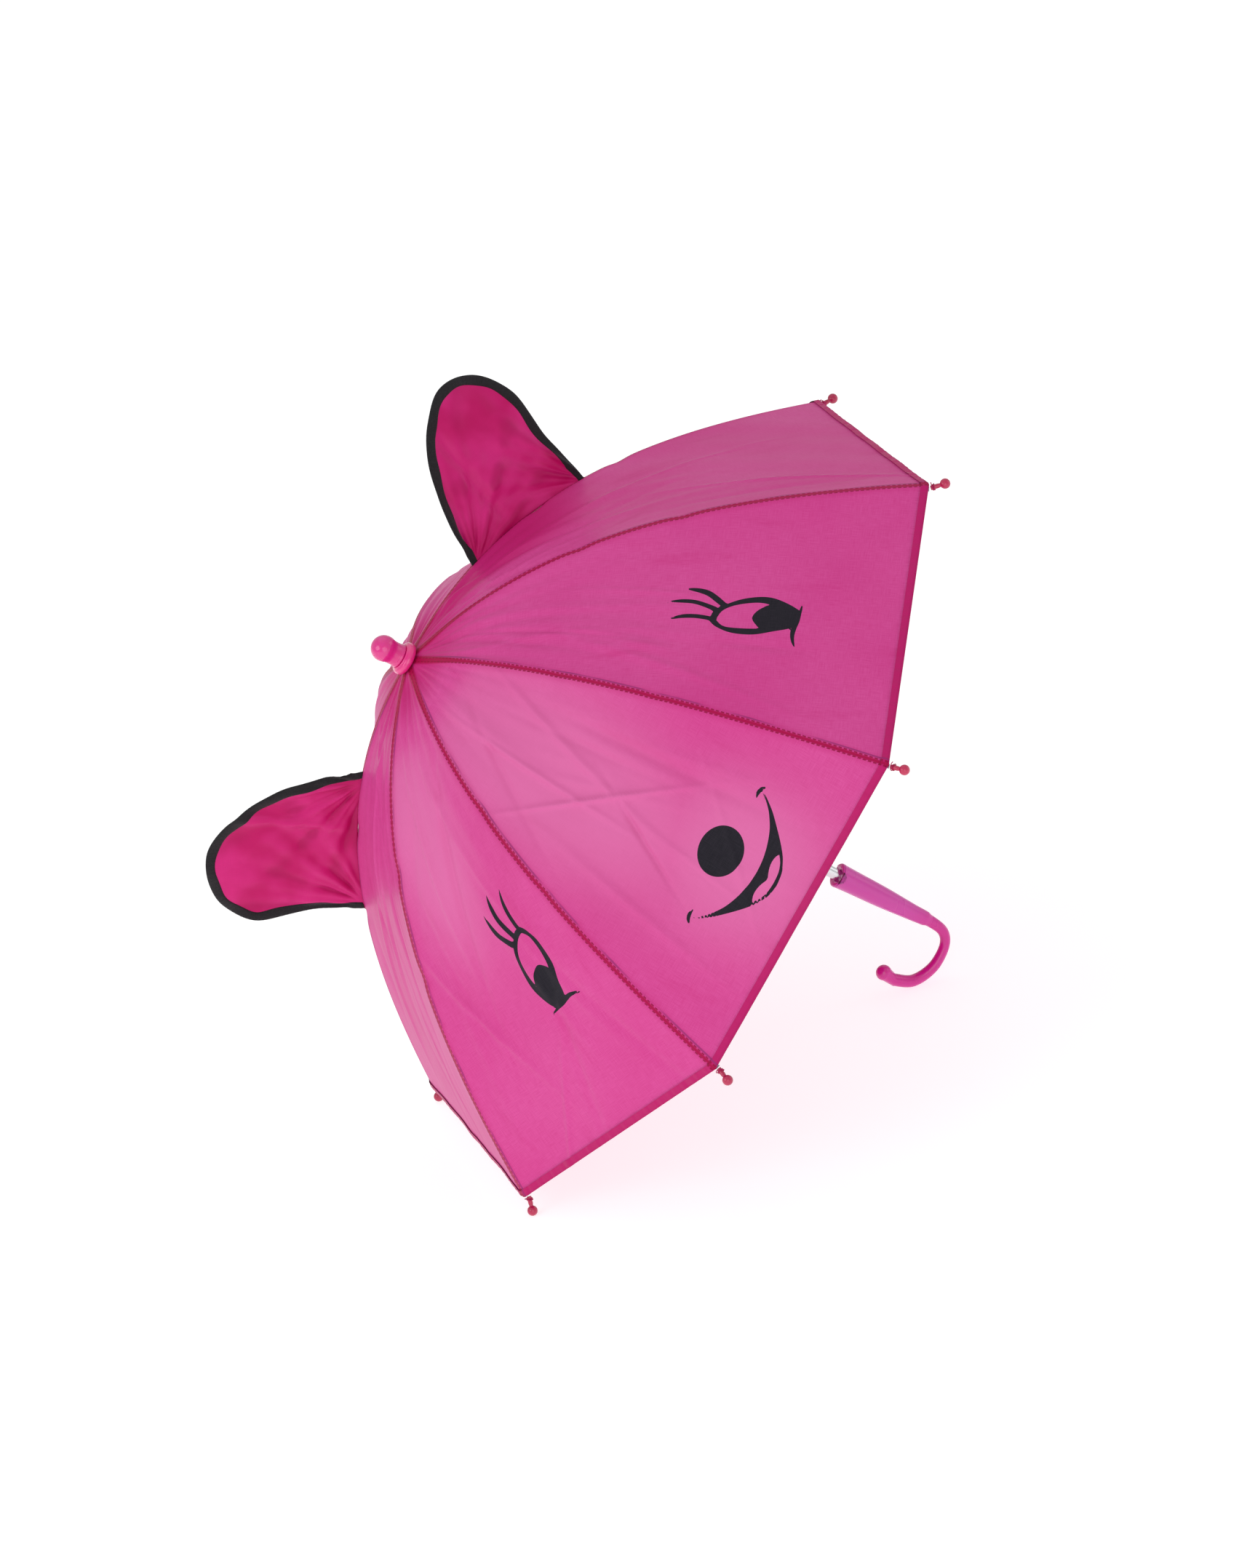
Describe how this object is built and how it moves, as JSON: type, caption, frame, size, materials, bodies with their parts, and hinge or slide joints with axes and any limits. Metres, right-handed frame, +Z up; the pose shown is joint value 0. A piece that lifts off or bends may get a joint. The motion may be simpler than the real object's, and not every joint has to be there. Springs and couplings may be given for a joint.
{
  "type": "children's umbrella",
  "caption": "Small child's umbrella with a domed fabric canopy on folding steel ribs, two stand-up fabric ears, a simple printed face and a plastic hook handle.",
  "frame": {"origin": "centre of the bounding box at floor level, with the open umbrella lying on two rib tips and the hook of its handle", "axes": "+Z up; the ferrule points to -X and up, the handle to +X; the nose and mouth panel faces -Y; the umbrella is symmetric about Y = 0 but for its ears and strap"},
  "size_m": [0.5202, 0.5612, 0.5042],
  "materials": {
    "canopy_fabric": "thin satin polyester",
    "ear_fabric": "thin satin polyester",
    "binding_tape": "woven tape",
    "bright_steel": "bright plated",
    "dark_steel": "zinc plated",
    "ferrule_plastic": "glossy",
    "handle_plastic": "slightly translucent",
    "tip_plastic": "satin",
    "nylon": "natural nylon"
  },
  "bodies": {
    "frame": {"shaft_tube": "bright_steel", "handle": "handle_plastic", "ferrule_cap": "ferrule_plastic", "ferrule_collar": "ferrule_plastic", "top_notch": "nylon", "notch_wire": "dark_steel", "stop_pin": "bright_steel"},
    "runner": {"runner": "nylon", "runner_wire": "dark_steel"},
    "top_catch": {"top_catch": "bright_steel"},
    "bottom_catch": {"bottom_catch": "bright_steel"},
    "rib_1": {"rib_1": "dark_steel", "rib_tip_1": "tip_plastic", "joint_rivet_1": "bright_steel", "canopy_gore_1": "canopy_fabric", "ear_upper": "ear_fabric", "ear_upper_binding": "binding_tape"},
    "stretcher_1": {"stretcher_1": "dark_steel"},
    "rib_2": {"rib_2": "dark_steel", "rib_tip_2": "tip_plastic", "joint_rivet_2": "bright_steel", "canopy_gore_2": "canopy_fabric"},
    "stretcher_2": {"stretcher_2": "dark_steel"},
    "rib_3": {"rib_3": "dark_steel", "rib_tip_3": "tip_plastic", "joint_rivet_3": "bright_steel", "canopy_gore_3": "canopy_fabric"},
    "stretcher_3": {"stretcher_3": "dark_steel"},
    "rib_4": {"rib_4": "dark_steel", "rib_tip_4": "tip_plastic", "joint_rivet_4": "bright_steel", "canopy_gore_4": "canopy_fabric"},
    "stretcher_4": {"stretcher_4": "dark_steel"},
    "rib_5": {"rib_5": "dark_steel", "rib_tip_5": "tip_plastic", "joint_rivet_5": "bright_steel", "canopy_gore_5": "canopy_fabric"},
    "stretcher_5": {"stretcher_5": "dark_steel"},
    "rib_6": {"rib_6": "dark_steel", "rib_tip_6": "tip_plastic", "joint_rivet_6": "bright_steel", "canopy_gore_6": "canopy_fabric", "ear_lower": "ear_fabric", "ear_lower_binding": "binding_tape"},
    "stretcher_6": {"stretcher_6": "dark_steel"},
    "rib_7": {"rib_7": "dark_steel", "rib_tip_7": "tip_plastic", "joint_rivet_7": "bright_steel", "canopy_gore_7": "canopy_fabric"},
    "stretcher_7": {"stretcher_7": "dark_steel"},
    "rib_8": {"rib_8": "dark_steel", "rib_tip_8": "tip_plastic", "joint_rivet_8": "bright_steel", "canopy_gore_8": "canopy_fabric", "closure_strap": "canopy_fabric"},
    "stretcher_8": {"stretcher_8": "dark_steel"}
  },
  "joints": [
    {"name": "runner_slide", "type": "slide", "parent": "frame", "child": "runner", "axis": [0.6782, 0, -0.7349], "range_m": [0, 0.17143]},
    {"name": "top_catch_press", "type": "slide", "parent": "frame", "child": "top_catch", "axis": [-0.7349, 0, -0.6782], "range_m": [0, 0.0023], "stiffness_N_per_m": 250, "springref_m": -0.003},
    {"name": "bottom_catch_press", "type": "slide", "parent": "frame", "child": "bottom_catch", "axis": [0.7349, 0, 0.6782], "range_m": [0, 0.0023], "stiffness_N_per_m": 250, "springref_m": -0.003},
    {"name": "rib_1_fold", "type": "hinge", "parent": "frame", "child": "rib_1", "pos_m": [-0.08885, 0.00383, 0.35876], "axis": [-0.2812, 0.9239, -0.2595], "range_deg": [0, 51.67], "deforming": ["canopy_gore_1"]},
    {"name": "stretcher_1_fold", "type": "hinge", "parent": "runner", "child": "stretcher_1", "pos_m": [-0.0135, 0.00383, 0.2771], "axis": [0.2812, -0.9239, 0.2595], "range_deg": [0, 52.93]},
    {"name": "rib_2_fold", "type": "hinge", "parent": "frame", "child": "rib_2", "pos_m": [-0.08885, -0.00383, 0.35876], "axis": [0.2812, 0.9239, 0.2595], "range_deg": [0, 51.67], "deforming": ["canopy_gore_2"]},
    {"name": "stretcher_2_fold", "type": "hinge", "parent": "runner", "child": "stretcher_2", "pos_m": [-0.0135, -0.00383, 0.2771], "axis": [-0.2812, -0.9239, -0.2595], "range_deg": [0, 52.93]},
    {"name": "rib_3_fold", "type": "hinge", "parent": "frame", "child": "rib_3", "pos_m": [-0.09283, -0.00924, 0.35509], "axis": [0.6789, 0.3827, 0.6266], "range_deg": [0, 51.67], "deforming": ["canopy_gore_3"]},
    {"name": "stretcher_3_fold", "type": "hinge", "parent": "runner", "child": "stretcher_3", "pos_m": [-0.01747, -0.00924, 0.27343], "axis": [-0.6789, -0.3827, -0.6266], "range_deg": [0, 52.93]},
    {"name": "rib_4_fold", "type": "hinge", "parent": "frame", "child": "rib_4", "pos_m": [-0.09845, -0.00924, 0.3499], "axis": [0.6789, -0.3827, 0.6266], "range_deg": [0, 51.67], "deforming": ["canopy_gore_4"]},
    {"name": "stretcher_4_fold", "type": "hinge", "parent": "runner", "child": "stretcher_4", "pos_m": [-0.0231, -0.00924, 0.26824], "axis": [-0.6789, 0.3827, -0.6266], "range_deg": [0, 52.93]},
    {"name": "rib_5_fold", "type": "hinge", "parent": "frame", "child": "rib_5", "pos_m": [-0.10243, -0.00383, 0.34623], "axis": [0.2812, -0.9239, 0.2595], "range_deg": [0, 51.67], "deforming": ["canopy_gore_5"]},
    {"name": "stretcher_5_fold", "type": "hinge", "parent": "runner", "child": "stretcher_5", "pos_m": [-0.02707, -0.00383, 0.26457], "axis": [-0.2812, 0.9239, -0.2595], "range_deg": [0, 52.93]},
    {"name": "rib_6_fold", "type": "hinge", "parent": "frame", "child": "rib_6", "pos_m": [-0.10243, 0.00383, 0.34623], "axis": [-0.2812, -0.9239, -0.2595], "range_deg": [0, 51.67], "deforming": ["canopy_gore_6"]},
    {"name": "stretcher_6_fold", "type": "hinge", "parent": "runner", "child": "stretcher_6", "pos_m": [-0.02707, 0.00383, 0.26457], "axis": [0.2812, 0.9239, 0.2595], "range_deg": [0, 52.93]},
    {"name": "rib_7_fold", "type": "hinge", "parent": "frame", "child": "rib_7", "pos_m": [-0.09845, 0.00924, 0.3499], "axis": [-0.6789, -0.3827, -0.6266], "range_deg": [0, 51.67], "deforming": ["canopy_gore_7"]},
    {"name": "stretcher_7_fold", "type": "hinge", "parent": "runner", "child": "stretcher_7", "pos_m": [-0.0231, 0.00924, 0.26824], "axis": [0.6789, 0.3827, 0.6266], "range_deg": [0, 52.93]},
    {"name": "rib_8_fold", "type": "hinge", "parent": "frame", "child": "rib_8", "pos_m": [-0.09283, 0.00924, 0.35509], "axis": [-0.6789, 0.3827, -0.6266], "range_deg": [0, 51.67], "deforming": ["canopy_gore_8", "closure_strap"]},
    {"name": "stretcher_8_fold", "type": "hinge", "parent": "runner", "child": "stretcher_8", "pos_m": [-0.01747, 0.00924, 0.27343], "axis": [0.6789, -0.3827, 0.6266], "range_deg": [0, 52.93]}
  ],
  "couplings": [
    {"joint": "rib_1_fold", "follows": "runner_slide", "rad_per_m": 5.2602},
    {"joint": "stretcher_1_fold", "follows": "runner_slide", "rad_per_m": 5.3886},
    {"joint": "rib_2_fold", "follows": "runner_slide", "rad_per_m": 5.2602},
    {"joint": "stretcher_2_fold", "follows": "runner_slide", "rad_per_m": 5.3886},
    {"joint": "rib_3_fold", "follows": "runner_slide", "rad_per_m": 5.2602},
    {"joint": "stretcher_3_fold", "follows": "runner_slide", "rad_per_m": 5.3886},
    {"joint": "rib_4_fold", "follows": "runner_slide", "rad_per_m": 5.2602},
    {"joint": "stretcher_4_fold", "follows": "runner_slide", "rad_per_m": 5.3886},
    {"joint": "rib_5_fold", "follows": "runner_slide", "rad_per_m": 5.2602},
    {"joint": "stretcher_5_fold", "follows": "runner_slide", "rad_per_m": 5.3886},
    {"joint": "rib_6_fold", "follows": "runner_slide", "rad_per_m": 5.2602},
    {"joint": "stretcher_6_fold", "follows": "runner_slide", "rad_per_m": 5.3886},
    {"joint": "rib_7_fold", "follows": "runner_slide", "rad_per_m": 5.2602},
    {"joint": "stretcher_7_fold", "follows": "runner_slide", "rad_per_m": 5.3886},
    {"joint": "rib_8_fold", "follows": "runner_slide", "rad_per_m": 5.2602},
    {"joint": "stretcher_8_fold", "follows": "runner_slide", "rad_per_m": 5.3886}
  ]
}
